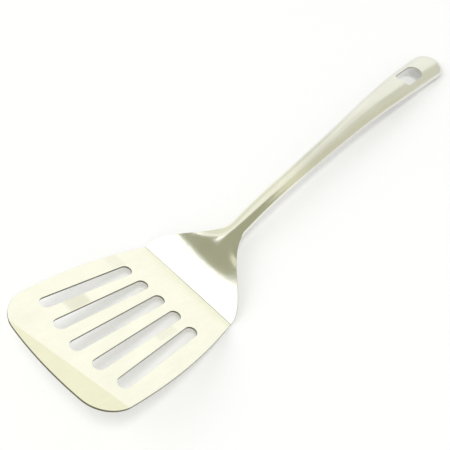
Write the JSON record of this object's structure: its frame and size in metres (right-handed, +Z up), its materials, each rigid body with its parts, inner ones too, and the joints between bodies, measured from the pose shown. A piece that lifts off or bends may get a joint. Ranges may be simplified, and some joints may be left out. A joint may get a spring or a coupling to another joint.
{
  "type": "slotted turner",
  "caption": "One-piece stainless slotted turner: a fanned, slotted blade folded up at the heel into a drawn shoulder, hollow neck and long channel grip with a D-shaped hanging hole.",
  "frame": {"origin": "under the middle of the laid-down turner's bounding box, on the surface it rests on", "axes": "+Y from the blade's front edge to the tip of the grip, +Z up from the surface it rests on, +X across the blade"},
  "size_m": [0.09, 0.3446, 0.0516],
  "materials": {
    "steel": "satin blade, polished shoulder and grip"
  },
  "bodies": {
    "root": {"blade": "steel", "handle": "steel"}
  },
  "joints": []
}
